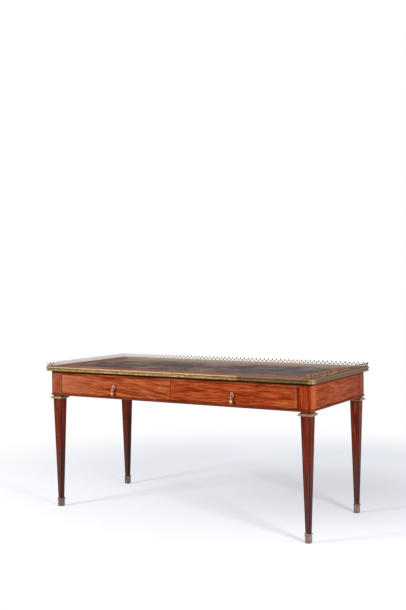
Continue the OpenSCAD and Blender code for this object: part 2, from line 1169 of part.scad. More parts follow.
module drawer_left_side_outer() {
    color([0.68, 0.50, 0.32])
        left_drawer()
            side_board(side_out_x - side_t / 2);
}

module drawer_left_side_middle() {
    color([0.68, 0.50, 0.32])
        left_drawer()
            side_board(side_mid_x + side_t / 2);
}

module drawer_left_back() {
    color([0.68, 0.50, 0.32])
        left_drawer()
            back_board();
}

module drawer_left_bottom() {
    color([0.68, 0.50, 0.32])
        left_drawer()
            bottom_board();
}

module drawer_left_plate() {
    color([0.74, 0.60, 0.38])
        left_drawer()
            key_plate();
}

module drawer_left_post() {
    color([0.74, 0.60, 0.38])
        left_drawer()
            handle_post();
}

module drawer_left_drop() {
    color([0.74, 0.60, 0.38])
        left_drawer()
            drop_body();
}

module drawer_left_lock() {
    color([0.45, 0.44, 0.42])
        left_drawer()
            lock_case();
}

module drawer_left_bolt() {
    color([0.70, 0.58, 0.38])
        left_drawer()
            lock_bolt();
}

module drawer_right_front() {
    color([0.64, 0.25, 0.13])
        right_drawer()
            front_board();
}

module drawer_right_side_outer() {
    color([0.68, 0.50, 0.32])
        right_drawer()
            side_board(side_out_x - side_t / 2);
}

module drawer_right_side_middle() {
    color([0.68, 0.50, 0.32])
        right_drawer()
            side_board(side_mid_x + side_t / 2);
}

module drawer_right_back() {
    color([0.68, 0.50, 0.32])
        right_drawer()
            back_board();
}

module drawer_right_bottom() {
    color([0.68, 0.50, 0.32])
        right_drawer()
            bottom_board();
}

module drawer_right_plate() {
    color([0.74, 0.60, 0.38])
        right_drawer()
            key_plate();
}

module drawer_right_post() {
    color([0.74, 0.60, 0.38])
        right_drawer()
            handle_post();
}

module drawer_right_drop() {
    color([0.74, 0.60, 0.38])
        right_drawer()
            drop_body();
}

module drawer_right_lock() {
    color([0.45, 0.44, 0.42])
        right_drawer()
            lock_case();
}

module drawer_right_bolt() {
    color([0.70, 0.58, 0.38])
        right_drawer()
            lock_bolt();
}

leg_front_left();
leg_front_right();
leg_back_left();
leg_back_right();
collar_front_left();
collar_front_right();
collar_back_left();
collar_back_right();
shoe_front_left();
shoe_front_right();
shoe_back_left();
shoe_back_right();
apron_right();
apron_left();
apron_back();
rail_front_upper();
rail_front_lower();
drawer_divider();
runner_right();
runner_left();
runner_middle();
kicker_right();
kicker_left();
kicker_middle();
top_core();
border_front();
border_back();
border_right();
border_left();
leather_inset();
edge_front();
edge_back();
edge_right();
edge_left();
gallery_left();
gallery_right();
gallery_front_left();
gallery_front_right();
gallery_back();
drawer_left_front();
drawer_left_side_outer();
drawer_left_side_middle();
drawer_left_back();
drawer_left_bottom();
drawer_left_plate();
drawer_left_post();
drawer_left_drop();
drawer_left_lock();
drawer_left_bolt();
drawer_right_front();
drawer_right_side_outer();
drawer_right_side_middle();
drawer_right_back();
drawer_right_bottom();
drawer_right_plate();
drawer_right_post();
drawer_right_drop();
drawer_right_lock();
drawer_right_bolt();
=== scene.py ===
"""Dresses a packed flat-topped writing desk: its veneers, its metalwork, its gallery and its handles."""
import logging
import math
from dataclasses import dataclass
from enum import Enum
from functools import cached_property
from typing import Iterable, NamedTuple, Self, Sequence

import bpy
from mathutils import Matrix, Vector


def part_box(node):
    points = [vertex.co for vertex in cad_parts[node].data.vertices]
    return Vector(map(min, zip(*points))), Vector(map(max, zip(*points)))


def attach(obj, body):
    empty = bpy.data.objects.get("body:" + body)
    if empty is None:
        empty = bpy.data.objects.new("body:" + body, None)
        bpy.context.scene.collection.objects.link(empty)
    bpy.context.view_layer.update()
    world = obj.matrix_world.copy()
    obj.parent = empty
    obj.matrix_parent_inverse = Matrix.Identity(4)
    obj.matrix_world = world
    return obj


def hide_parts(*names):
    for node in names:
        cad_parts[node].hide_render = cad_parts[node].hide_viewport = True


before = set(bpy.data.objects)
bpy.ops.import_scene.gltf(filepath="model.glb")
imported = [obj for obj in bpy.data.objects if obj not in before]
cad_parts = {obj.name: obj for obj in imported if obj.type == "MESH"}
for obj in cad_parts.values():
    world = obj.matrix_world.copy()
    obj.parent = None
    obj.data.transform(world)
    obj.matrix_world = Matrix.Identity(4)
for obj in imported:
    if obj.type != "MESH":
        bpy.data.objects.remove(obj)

log = logging.getLogger("desk")

MM = 0.001
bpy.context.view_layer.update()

Colour = tuple[float, float, float]
Tones = tuple[Colour, Colour, Colour]
Place = tuple[float, float, float]
Span = tuple[float, float]
Material = bpy.types.Material
Piece = bpy.types.Object

WHITE = (1, 1, 1, 1)
X, Y, Z = range(3)
LYING_X = (0, math.radians(90), 0)
LYING_Y = (math.radians(90), 0, 0)
# Values between which most of a cloudy pattern lies.
CLOUDY = (0.3, 0.7)


def tone(red: float, green: float, blue: float) -> Colour:
    """Turn a shade written from 0 to 255, as a screen shows it, into a linear colour."""
    parts = (value / 255 for value in (red, green, blue))
    return tuple(v / 12.92 if v <= 0.04045 else ((v + 0.055) / 1.055) ** 2.4 for v in parts)


class Grain(Enum):
    """Direction in which the fibres of a board or a veneer run."""

    ALONG_X = X
    ALONG_Y = Y
    ALONG_Z = Z

    def stretch(self, along: float, across: float) -> Place:
        """Return pattern scales that are low along the fibres and high across them."""
        return tuple(along if axis == self.value else across for axis in range(3))


class Side(Enum):
    """Left or right half of the desk, as seen from the front."""

    LEFT = "left"
    RIGHT = "right"


class End(Enum):
    """Front or back of the desk."""

    FRONT = "front"
    BACK = "back"


class Step(NamedTuple):
    """Smooth step of a value: where it begins and ends, and what it goes from and to."""

    low: float
    high: float
    start: float = 0
    end: float = 1


class Fade(NamedTuple):
    """Change of colour along an axis: the axis, the colour that comes in and how strongly."""

    axis: int
    colour: Colour
    step: Step


class Cloud(NamedTuple):
    """Cloudy pattern: its fineness, its layers of detail, their roughness and how warped it is."""

    scale: float
    detail: float = 3
    rough: float = 0.6
    warp: float = 0


class Band(NamedTuple):
    """Stripe of a value: its middle, its half width and how far it fades out beyond."""

    middle: float
    half: float
    soft: float


@dataclass(frozen=True)
class Wire:
    """One output of a node, which can be reckoned with like a number."""

    graph: "Graph"
    socket: bpy.types.NodeSocket

    def __add__(self, other: "Feed") -> Self:
        """Return this value and another added up."""
        return self.graph.calc("ADD", self, other)

    def __sub__(self, other: "Feed") -> Self:
        """Return this value less another."""
        return self.graph.calc("SUBTRACT", self, other)

    def __rsub__(self, number: float) -> Self:
        """Return a number less this value."""
        return self.graph.calc("SUBTRACT", number, self)

    def __mul__(self, other: "Feed") -> Self:
        """Return this value times another."""
        return self.graph.calc("MULTIPLY", self, other)

    def __abs__(self) -> Self:
        """Return this value without its sign."""
        return self.graph.calc("ABSOLUTE", self)

    def hypot(self, other: Self) -> Self:
        """Return the distance that two values at right angles make."""
        return self.graph.calc("SQRT", self * self + other * other)

    def split(self) -> tuple[Self, Self, Self]:
        """Return the x, y and z of coordinates."""
        outputs = self.graph.add("ShaderNodeSeparateXYZ", {0: self}).outputs
        return tuple(Wire(self.graph, output) for output in outputs)

    def mapped(self, scale: Place, shift: Place = (0, 0, 0), turn: Place = (0, 0, 0)) -> Self:
        """Return coordinates scaled, turned and shifted for a pattern."""
        feeds = {"Vector": self, "Location": shift, "Rotation": turn, "Scale": scale}
        return self.graph.wire("ShaderNodeMapping", feeds)

    def noise(self, scale: float = 1, detail: float = 3, rough: float = 0.6, warp: float = 0) -> Self:
        """Return a cloudy pattern from 0 to 1 over coordinates."""
        feeds = {"Vector": self, "Scale": scale, "Detail": detail, "Roughness": rough, "Distortion": warp}
        return self.graph.wire("ShaderNodeTexNoise", feeds)

    def grow(
        self, low: float, high: float, start: float = 0, end: float = 1, shape: str = "SMOOTHSTEP"
    ) -> Self:
        """Return a step from start to end while this value goes from low to high."""
        feeds = {"Value": self, "From Min": low, "From Max": high, "To Min": start, "To Max": end}
        return self.graph.wire("ShaderNodeMapRange", feeds, interpolation_type=shape)

    def stripe(self, middle: float, half: float, soft: float) -> Self:
        """Return 1 where this value lies within half of the middle, fading out over soft."""
        return abs(self - middle).grow(half, half + soft, 1, 0)

    def ramp(self, *stops: tuple[float, Colour]) -> Self:
        """Turn this value into a colour.

        Args:
            *stops: Values and the colours that they turn into, in rising order.

        Returns:
            A colour that goes through the stops as this value grows.
        """
        node = self.graph.add("ShaderNodeValToRGB", {0: self})
        elements = node.color_ramp.elements
        for index, (at, colour) in enumerate(stops):
            element = elements[index] if index < 2 else elements.new(at)
            element.position = at
            element.color = (*colour, 1)
        return Wire(self.graph, node.outputs[0])

    def mix(self, mask: "Feed", over: "Self | Colour") -> Self:
        """Return this colour with another laid over it, as strongly as the mask says."""
        feeds = {0: mask, 6: self, 7: over if isinstance(over, Wire) else (*over, 1)}
        return self.graph.wire("ShaderNodeMix", feeds, 2, data_type="RGBA")

    def bump(self, depth: float, strength: float) -> Self:
        """Return normals pushed in and out by this height, depth in metres."""
        return self.graph.wire("ShaderNodeBump", {"Height": self, "Distance": depth, "Strength": strength})


Feed = Wire | float | Sequence[float]
Feeds = dict[int | str, Feed]


@dataclass
class Graph:
    """The node tree of a new material or world, put together in small named steps."""

    owner: Material | bpy.types.World

    def __post_init__(self) -> None:
        """Start with an empty tree."""
        self.owner.use_nodes = True
        self.tree = self.owner.node_tree
        self.tree.nodes.clear()

    @cached_property
    def place(self) -> Wire:
        """Coordinates of the object itself."""
        return self.wire("ShaderNodeTexCoord", output="Object")

    @cached_property
    def axes(self) -> tuple[Wire, Wire, Wire]:
        """The x, y and z of the object's own coordinates."""
        return self.place.split()

    def add(self, kind: str, feeds: Feeds | None = None, **settings: object) -> bpy.types.Node:
        """Add one node.

        Args:
            kind: Type name of the node.
            feeds: What goes into its sockets: a wire, a number or a tuple.
            **settings: Properties of the node itself.

        Returns:
            The new node.
        """
        node = self.tree.nodes.new(kind)
        for key, value in settings.items():
            setattr(node, key, value)
        for socket, feed in (feeds or {}).items():
            if isinstance(feed, Wire):
                self.tree.links.new(feed.socket, node.inputs[socket])
            else:
                node.inputs[socket].default_value = feed
        return node

    def wire(
        self, kind: str, feeds: Feeds | None = None, output: int | str = 0, **settings: object
    ) -> Wire:
        """Add one node and return one of its outputs."""
        return Wire(self, self.add(kind, feeds, **settings).outputs[output])

    def calc(self, operation: str, *values: Feed) -> Wire:
        """Return the result of one sum on up to three values."""
        return self.wire("ShaderNodeMath", dict(enumerate(values)), operation=operation)

    def surface(self, colour: Wire, roughness: Wire, normal: Wire, **fixed: float) -> Material:
        """Close the tree with its shader.

        Args:
            colour: Base colour.
            roughness: Roughness of the surface.
            normal: Normals, from bump().
            **fixed: Other sockets of the shader, with underscores for blanks.

        Returns:
            The finished material.
        """
        feeds = {"Base Color": colour, "Roughness": roughness, "Normal": normal}
        feeds.update({key.replace("_", " "): value for key, value in fixed.items()})
        self.add("ShaderNodeOutputMaterial", {"Surface": self.wire("ShaderNodeBsdfPrincipled", feeds)})
        return self.owner


class Blotch(NamedTuple):
    """Dark spot beside a keyhole plate, painted as the shadow of the plate and its drop."""

    aside: float
    height: float
    radius: float
    weight: float


@dataclass(frozen=True)
class DirtAndShade:
    """Painted shadow and dirt: a painted shadow under the top, a darker lower bead with a dark line above
    it, and painted shadows round a handle with some dirt round its plate.
    """

    # Painted shadow of the top's overhang, on the strip right under it.
    top: Step = Step(0.7223, 0.730935, 0, 0.95)
    bead: Step = Step(0.6156, 0.6166, 0.75, 0)
    bead_foot: Step = Step(0.6, 0.601)
    line: Band = Band(0.6166, 0.0008, 0.0022)
    line_weight: float = 0.55
    handle_x: float = 0.3492
    squash: float = 0.75
    # Painted shadows: round the plate, mixed with some dirt, and below and to the right of the drop.
    blotches: tuple[Blotch, ...] = (Blotch(0.007, 0.66, 0.019, 0.5), Blotch(0.0115, 0.629, 0.0095, 0.75))
    ragged_scale: float = 120
    ragged_part: float = 0.4
    tint: Colour = (0.022, 0.004, 0.001)
    bead_tint: Colour = (0.16, 0.035, 0.018)

    def under_top(self, colour: Wire) -> Wire:
        """Paint the shadow of the top's overhang on the strip right under it."""
        return colour.mix(colour.graph.axes[Z].grow(*self.top), self.tint)

    def over_bead(self, colour: Wire) -> Wire:
        """Darken the bead and draw a dark line above it.

        Args:
            colour: Colour of the wood so far.

        Returns:
            The soiled colour.
        """
        z = colour.graph.axes[Z]
        bead = z.grow(*self.bead) * z.grow(*self.bead_foot)
        line = z.stripe(*self.line) * self.line_weight
        return colour.mix(bead, self.bead_tint).mix(line, self.tint)

    def round_handle(self, colour: Wire) -> Wire:
        """Paint the shadow of the keyhole plate beside it, with some dirt, and the shadow of its drop
        below it.

        Args:
            colour: Colour of the wood so far.

        Returns:
            The soiled colour.
        """
        x, _, z = colour.graph.axes
        ragged = colour.graph.place.noise(self.ragged_scale)
        for spot in self.blotches:
            wide = abs(x - spot.aside) - self.handle_x
            away = wide.hypot((z - spot.height) * self.squash)
            reach = ragged * (self.ragged_part * spot.radius) + away
            dark = reach.grow(0.6 * spot.radius, 1.25 * spot.radius, spot.weight, 0)
            colour = colour.mix(dark, self.tint)
        return colour


@dataclass(frozen=True)
class Fibres:
    """One layer of the grain of wood: a noise that is long along the fibres."""

    along: float
    across: float
    weight: float = 1
    detail: float = 3
    rough: float = 0.6
    warp: float = 0

    def drawn(self, place: Wire, grain: Grain) -> Wire:
        """Return this layer over coordinates, before it is weighed."""
        stretched = place.mapped(grain.stretch(self.along, self.across))
        return stretched.noise(1, self.detail, self.rough, self.warp)


@dataclass(frozen=True)
class Veneer:
    """Polished figured veneer: ribbons, streaks and hairlines along the grain, with fine pores."""

    name: str
    grain: Grain
    deep: Colour
    middle: Colour
    light: Colour
    lean: float = 0.0
    shift: Place = (0, 0, 0)
    sway: float = 0.007
    sway_scale: float = 7
    contrast: float = 0.094
    shine: float = 0.36
    wear_spread: float = 0.16
    specular: float = 0.035
    dirt_and_shade: DirtAndShade | None = None
    fades: tuple[Fade, ...] = ()
    wear: Cloud = Cloud(9, 4)
    ribbons: Fibres = Fibres(7, 66, 0.36, rough=0.5, warp=0.2)
    streaks: Fibres = Fibres(11, 170, 0.38, 4, warp=0.2)
    hairs: Fibres = Fibres(20, 440, 0.26)
    pores: Fibres = Fibres(60, 1500)

    def swayed(self, graph: Graph) -> Wire:
        """Bend the coordinates, so that the grain leans and sways a little.

        Args:
            graph: Tree to draw in.

        Returns:
            The bent coordinates.
        """
        leaning = graph.place.mapped((1, 1, 1), self.shift, (0, self.lean, 0))
        feeds = {"Vector": leaning, "Scale": self.sway_scale, "Detail": 2.0}
        waves = graph.wire("ShaderNodeTexNoise", feeds, "Color")
        centred = graph.wire("ShaderNodeVectorMath", {0: waves, 1: (0.5,) * 3}, operation="SUBTRACT")
        feeds = {0: centred, 1: (self.sway,) * 3, 2: leaning}
        return graph.wire("ShaderNodeVectorMath", feeds, operation="MULTIPLY_ADD")

    def colour(self, figure: Wire) -> Wire:
        """Return the colour of the clean wood."""
        low, high = 0.5 - self.contrast, 0.5 + self.contrast
        return figure.ramp((low, self.deep), (0.5, self.middle), (high, self.light))

    def darkened(self, colour: Wire) -> Wire:
        """Lay the painted shadow under the top and the darker bead over the colour, where this veneer has
        them.
        """
        return self.dirt_and_shade.over_bead(self.dirt_and_shade.under_top(colour)) if self.dirt_and_shade else colour

    def build(self) -> Material:
        """Draw the wood and its waxed polish.

        Returns:
            The finished material.
        """
        graph = Graph(bpy.data.materials.new(self.name))
        place = self.swayed(graph)
        layers = (self.ribbons, self.streaks, self.hairs)
        ribbons, streaks, hairs = (layer.drawn(place, self.grain) * layer.weight for layer in layers)
        colour = self.colour(ribbons + streaks + hairs)
        for fade in self.fades:
            colour = colour.mix(graph.axes[fade.axis].grow(*fade.step), fade.colour)
        colour = self.darkened(colour)
        rough = graph.place.noise(*self.wear).grow(*CLOUDY, self.shine, self.shine + self.wear_spread)
        relief = self.pores.drawn(place, self.grain).bump(depth=0.1 * MM, strength=0.3)
        return graph.surface(colour, rough, relief, Specular_IOR_Level=self.specular)


@dataclass(frozen=True, kw_only=True)
class DrawerVeneer(Veneer):
    """Veneer of a drawer front, dark at its joints, with painted shade beside the posts and painted
    shadows round its keyhole plate.
    """

    ends: Span
    joints: Span
    joint_weight: float = 0.75
    rubbed_in: float = 0.004
    rubbed_weight: float = 0.22
    pale_edge: Colour

    def darkened(self, colour: Wire) -> Wire:
        """Draw the dark joints, spread wider as painted shade beside the posts, with a worn pale arris
        inside them, and lay the painted shadows round the plate and the darker bead over the wood.

        Args:
            colour: Colour of the wood.

        Returns:
            The soiled colour.
        """
        x = colour.graph.axes[X]
        for inward, joint in zip((x - self.ends[0], self.ends[1] - x), self.joints):
            if joint:
                arris = inward.stripe(joint + self.rubbed_in, 1.5 * MM, 2 * MM) * self.rubbed_weight
                # Dark joint; at the outer ends it spreads wide as painted shade cast by the post.
                dark = inward.grow(0.5 * joint, 1.2 * joint, self.joint_weight, 0)
                colour = colour.mix(arris, self.pale_edge).mix(dark, self.dirt_and_shade.tint)
        return self.dirt_and_shade.round_handle(self.dirt_and_shade.over_bead(colour))


@dataclass(frozen=True, kw_only=True)
class LegVeneer(Veneer):
    """Veneer of a leg: dark below with a pale inlaid line round each face and painted shade low on its
    right face, warmer on the post, whose right face is painted in its own tone for the light there.
    """

    centre: Span
    taper: Step = Step(0.046, 0.587, 0.011, 0.025)
    dusk: Step = Step(0.12, 0.44, 0.85, 0)
    right_face_shade: Step = Step(0.0003, 0.001, 0.4, 0)
    right_dusk: Step = Step(0.2, 0.46, 1, 0.2)
    banding: Step = Step(0.0053, 0.0065, 0.6, 0)
    inlay: Band = Band(0.0065, 0.0007, 0.0003)
    inlay_weight: float = 0.5
    line: Colour = tone(160, 92, 66)
    low: Colour = tone(84, 60, 62)
    dark_edge: Colour = tone(50, 18, 14)
    post_z: float = 0.6
    post_half: float = 0.03
    post_right_lighting: float = 0.6
    post_string: Band = Band(0.006, 0.0007, 0.0008)
    string_weight: float = 0.6
    post_tones: Tones

    def colour(self, figure: Wire) -> Wire:
        """Colour the dark shaft with its inlaid line and painted shade on its right face and, from the
        collar up, the warmer post with its right face painted for the light there.

        Args:
            figure: Pattern of the wood.

        Returns:
            The clean colour of the whole leg.
        """
        x, y, z = figure.graph.axes
        aside = x - self.centre[0]
        near = figure.graph.calc("MINIMUM", abs(aside), abs(y - self.centre[1]))
        half = z.grow(*self.taper, "LINEAR")
        # Painted shade on the right face of the shaft, strongest low down.
        shaded = (half - aside).grow(*self.right_face_shade) * z.grow(*self.right_dusk)
        shaft = super().colour(figure).mix(z.grow(*self.dusk), self.low).mix(shaded, self.dark_edge)
        shaft = shaft.mix((half - near).grow(*self.banding), self.dark_edge)
        shaft = shaft.mix((half - near).stripe(*self.inlay) * self.inlay_weight, self.line)
        # The post's right face gets the third tone, painted lighter or darker for the light that falls on
        # that side.
        deep, light, side = self.post_tones
        right = aside.grow(self.post_half - MM, self.post_half, 0, self.post_right_lighting)
        string = (self.post_half - near).stripe(*self.post_string) * self.string_weight
        post = figure.ramp((0.4, deep), (0.6, light)).mix(right, side).mix(string, self.dark_edge)
        return shaft.mix(z.grow(self.post_z - 0.4 * MM, self.post_z), post)


@dataclass(frozen=True)
class SecondaryWood:
    """Plain oiled wood of the carcase and the drawer linings, unpolished."""

    name: str
    grain: Grain
    dark: Colour
    light: Colour
    rings: Fibres = Fibres(2.5, 45, 0.7, 4, warp=0.5)
    pores: Fibres = Fibres(70, 1400, 0.3)
    ageing: Cloud = Cloud(6, 4, 0.65)
    aged: Step = Step(0.4, 0.8, 0, 0.45)
    rough: Span = (0.6, 0.78)

    def build(self) -> Material:
        """Draw the rings, the pores and the uneven ageing.

        Returns:
            The finished material.
        """
        graph = Graph(bpy.data.materials.new(self.name))
        rings, pores = (layer.drawn(graph.place, self.grain) for layer in (self.rings, self.pores))
        figure = pores * self.pores.weight + rings * self.rings.weight
        aged = graph.place.noise(*self.ageing).grow(*self.aged)
        colour = figure.ramp((0.34, self.dark), (0.66, self.light)).mix(aged, self.dark)
        relief = pores.bump(depth=0.2 * MM, strength=0.5)
        return graph.surface(colour, pores.grow(*CLOUDY, *self.rough), relief)


@dataclass(frozen=True)
class OldLeather:
    """Dark writing leather with cloudy wear, pale scuffs, a fine pebbled grain and a painted reflection of
    the backdrop towards the back.
    """

    name: str
    dark: Colour
    middle: Colour
    worn: Colour
    scuff: Colour
    cool: Colour
    paler: Colour
    scratches: tuple[tuple[Span, Span], ...] = ()
    specular: float = 0.045
    cloud_scale: Place = (6, 9, 1)
    clouds: Cloud = Cloud(1, 6, 0.66, 0.25)
    line_scale: Place = (6, 26, 1)
    line_turn: float = 0.16
    lines: Cloud = Cloud(1, 4, 0.55, 1)
    lined: Step = Step(0.54, 0.68)
    region_scale: Place = (1.6, 3, 1)
    region_shift: Place = (0.4, 0.1, 0)
    region: Cloud = Cloud(1, 2, 0.5)
    scuffed: Step = Step(0.4, 0.62)
    cool_right: Step = Step(-0.1, 0.35)
    cool_front: Step = Step(0.18, 0.0, 0, 0.45)
    back_reflection: Step = Step(0.2, 0.4, 0, 0.6)
    scuff_weight: float = 0.5
    scratch_width: Step = Step(0.009, 0.016, 0.7, 0)
    scratch_ragged: float = 0.012
    pebble_scale: float = 900
    pore_scale: float = 2200
    rough: Step = Step(0.3, 0.75, 0.6, 0.78)

    def scratch(self, graph: Graph, start: Span, end: Span) -> Wire:
        """Draw one rubbed scratch across the surface.

        Args:
            graph: Tree to draw in.
            start: Place of its first end, seen from above.
            end: Place of its other end.

        Returns:
            A mask that is strongest in the middle of the scratch and broken up by the wear.
        """
        first, last = Vector((*start, 0)), Vector((*end, 0))
        turn = -math.atan2(last.y - first.y, last.x - first.x)
        half = (last - first).length / 2
        middle = Matrix.Rotation(turn, 3, "Z") @ ((first + last) / 2)
        along, across, _ = graph.place.mapped((1, 1, 1), tuple(-middle), (0, 0, turn)).split()
        wide = graph.place.noise(60) * self.scratch_ragged + abs(across)
        return wide.grow(*self.scratch_width) * along.stripe(0, 0.7 * half, 0.3 * half)

    def build(self) -> Material:
        """Draw the clouds of wear, the cooler front, the paler back that paints a reflection of the
        backdrop, the scuffs and the pebbled grain.

        Returns:
            The finished material.
        """
        graph = Graph(bpy.data.materials.new(self.name))
        x, y, _ = graph.axes
        clouds = graph.place.mapped(self.cloud_scale).noise(*self.clouds)
        lines = graph.place.mapped(self.line_scale, turn=(0, 0, self.line_turn)).noise(*self.lines)
        region = graph.place.mapped(self.region_scale, self.region_shift).noise(*self.region)
        scuffs = lines.grow(*self.lined) * region.grow(*self.scuffed) * self.scuff_weight
        colour = clouds.ramp((0.38, self.dark), (0.5, self.middle), (0.62, self.worn))
        colour = colour.mix(x.grow(*self.cool_right) * y.grow(*self.cool_front), self.cool)
        # Painted reflection of the backdrop: paler towards the back.
        colour = colour.mix((clouds * 0.3 + y).grow(*self.back_reflection), self.paler)
        for mask in (scuffs, *(self.scratch(graph, *ends) for ends in self.scratches)):
            colour = colour.mix(mask, self.scuff)
        pebble = graph.wire("ShaderNodeTexVoronoi", {"Vector": graph.place, "Scale": self.pebble_scale})
        relief = (graph.place.noise(self.pore_scale) * 0.4 + pebble).bump(0.25 * MM, strength=0.5)
        rough = clouds.grow(*self.rough)
        return graph.surface(colour, rough, relief, Specular_IOR_Level=self.specular)


@dataclass(frozen=True)
class AgedMetal:
    """Cast and chased metal with tarnish in the low places and rubbed high places."""

    name: str
    bright: Colour
    dull: Colour
    tarnish: Colour
    spread: float = 0.5
    rough: float = 0.34
    rough_spread: float = 0.12
    mottling: Cloud = Cloud(60, 5, 0.65, 0.3)
    spotting: Cloud = Cloud(240, 4, 0.7)
    spot_start: float = 0.74
    spot_reach: float = 0.3
    spot_soft: float = 0.16
    spot_weight: float = 0.85
    pit_scale: float = 1600

    def mottled(self, graph: Graph) -> Wire:
        """Return the pattern that mottles the metal."""
        return graph.place.noise(*self.mottling)

    def toned(self, colour: Wire) -> Wire:
        """Return the colour with the stains and painted light of one kind of piece, of which plain metal
        has none.
        """
        return colour

    def build(self) -> Material:
        """Draw the mottled metal and its spots of tarnish.

        Returns:
            The finished material.
        """
        graph = Graph(bpy.data.materials.new(self.name))
        mottle = self.mottled(graph)
        spotted = self.spot_start - self.spot_reach * self.spread
        spots = graph.place.noise(*self.spotting)
        spots = spots.grow(spotted, spotted + self.spot_soft, 0, self.spot_weight)
        colour = mottle.ramp((0.34, self.dull), (0.62, self.bright)).mix(spots, self.tarnish)
        rough = mottle.grow(*CLOUDY, self.rough + self.rough_spread, self.rough)
        relief = (graph.place.noise(self.pit_scale) * 0.3 + mottle).bump(0.3 * MM, strength=0.35)
        return graph.surface(self.toned(colour), rough, relief, Metallic=1.0)


@dataclass(frozen=True, kw_only=True)
class MouldingMetal(AgedMetal):
    """Metal of the edge moulding: tarnished groove, lengths with joints, painted highlights on its top lip
    and front right corner, and painted shade along its foot, on its right side and at two corners.
    """

    groove_z: float
    groove_half: float = 0.003
    groove_weight: float = 0.38
    lip: Step = Step(0.004, 0.007, 0, 0.5)
    under: Step = Step(-0.011, -0.006, 0.4, 0)
    joints: tuple[float, ...]
    joint_weight: float = 0.85
    brown: Span
    brown_front: Step = Step(-0.3, -0.28, 0.75, 0)
    brown_tone: Colour = tone(92, 60, 36)
    dull_length: Step = Step(0.4896, 0.4906, 0, 0.6)
    side_right: Step = Step(0.77, 0.778, 0, 0.65)
    side_back: Step = Step(-0.352, -0.338)
    right_side_shade: Colour = tone(126, 88, 42)
    painted_highlight: Colour = tone(192, 154, 118)
    pale_corner: Place = (0.772, -0.358, 0.034)
    pale_patches: Step = Step(0.4, 0.56, 0.2, 1)
    shaded_corners: tuple[Place, ...] = ((-0.79, -0.37, 0.03), (0.79, 0.37, 0.05))

    def toned(self, colour: Wire) -> Wire:
        """Tarnish the groove, paint highlights on the lip and the front right corner, paint shade along
        the foot, the right side and two corners, tone the lengths and draw the joints.

        Args:
            colour: Colour of the metal.

        Returns:
            The stained colour.
        """
        x, y, z = colour.graph.axes
        above = z - self.groove_z
        start, end = self.brown
        brown = x.stripe((start + end) / 2, (end - start) / 2, 2 * MM) * y.grow(*self.brown_front)
        # Painted highlight patches at the front right corner.
        pale_x, pale_y, reach = self.pale_corner
        pale_edge = (x - pale_x).hypot(y - pale_y).grow(0.4 * reach, reach, 0.75, 0)
        patches = self.mottled(colour.graph).grow(*self.pale_patches)
        coats = [
            (above.stripe(0, self.groove_half, 2 * MM) * self.groove_weight, self.tarnish),
            # Painted highlight along the top lip; painted shade along the foot of the moulding.
            (above.grow(*self.lip), self.painted_highlight),
            (above.grow(*self.under), self.tarnish),
            (brown, self.brown_tone),
            (x.grow(*self.dull_length), self.tarnish),
            # Painted shade on the right side of the moulding.
            (x.grow(*self.side_right) * y.grow(*self.side_back), self.right_side_shade),
            (pale_edge * patches, self.painted_highlight),
        ]
        # Painted shade at the front left and back right corners, where the moulding turns away from the
        # light.
        for corner_x, corner_y, reach in self.shaded_corners:
            away = (x - corner_x).hypot(y - corner_y)
            coats.append((away.grow(0.3 * reach, reach, 0.8, 0), self.tarnish))
        for joint in self.joints:
            coats.append((x.stripe(joint, 0.5 * MM, 0.6 * MM) * self.joint_weight, self.tarnish))
        for mask, coat in coats:
            colour = colour.mix(mask, coat)
        return colour


@dataclass(frozen=True)
class PlateMetal(AgedMetal):
    """Metal of a keyhole plate, dirty in the sunk field round the keyhole."""

    field_x: float = 0.3492
    field_z: float = 0.6625
    squash: float = 0.7
    reach: float = 0.0062
    weight: float = 0.88

    def toned(self, colour: Wire) -> Wire:
        """Darken the field.

        Args:
            colour: Colour of the metal.

        Returns:
            The stained colour.
        """
        x, _, z = colour.graph.axes
        away = (abs(x) - self.field_x).hypot((z - self.field_z) * self.squash)
        return colour.mix(away.grow(0.5 * self.reach, self.reach, self.weight, 0), self.tarnish)


def dress(piece: Piece, material: Material) -> None:
    """Give a piece one material all over, in place of any it came with."""
    piece.data.materials.clear()
    piece.data.materials.append(material)


def dress_nodes(material: Material, *names: str) -> None:
    """Give one material to solids that stay as they are.

    Args:
        material: What they wear.
        *names: Names of the solids.
    """
    for name in names:
        dress(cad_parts[name], material)
        log.info("%s wears %s", name, material.name)


def take(*pieces: Piece) -> None:
    """Select pieces, and no others.

    Args:
        *pieces: What to select, the one to be active first.
    """
    bpy.ops.object.select_all(action="DESELECT")
    for piece in pieces:
        piece.select_set(True)
    bpy.context.view_layer.objects.active = pieces[0]


def settled(piece: Piece) -> Piece:
    """Move a piece's place, turn and scale into its mesh.

    Args:
        piece: Piece to settle.

    Returns:
        The same piece.
    """
    take(piece)
    bpy.ops.object.transform_apply(location=True, rotation=True, scale=True)
    return piece


def rod(radius: float, length: float, middle: Place, turn: Place = (0, 0, 0), sides: int = 8) -> Piece:
    """Add a round rod, its axis turned away from Z."""
    bpy.ops.mesh.primitive_cylinder_add(
        vertices=sides, radius=radius, depth=length, location=middle, rotation=turn
    )
    return settled(bpy.context.object)


def ball(radius: float, middle: Place, scale: Place, around: int, up: int) -> Piece:
    """Add a ball, round or flattened."""
    bpy.ops.mesh.primitive_uv_sphere_add(
        segments=around, ring_count=up, radius=radius, location=middle, scale=scale
    )
    return settled(bpy.context.object)


def bar(low: Place, high: Place) -> Piece:
    """Add a square bar between two corners.

    Args:
        low: Corner at its left, front and foot.
        high: Corner at its right, back and top.

    Returns:
        The bar.
    """
    middle = [(a + b) / 2 for a, b in zip(low, high)]
    size = [b - a for a, b in zip(low, high)]
    bpy.ops.mesh.primitive_cube_add(size=1, location=middle, scale=size)
    return settled(bpy.context.object)


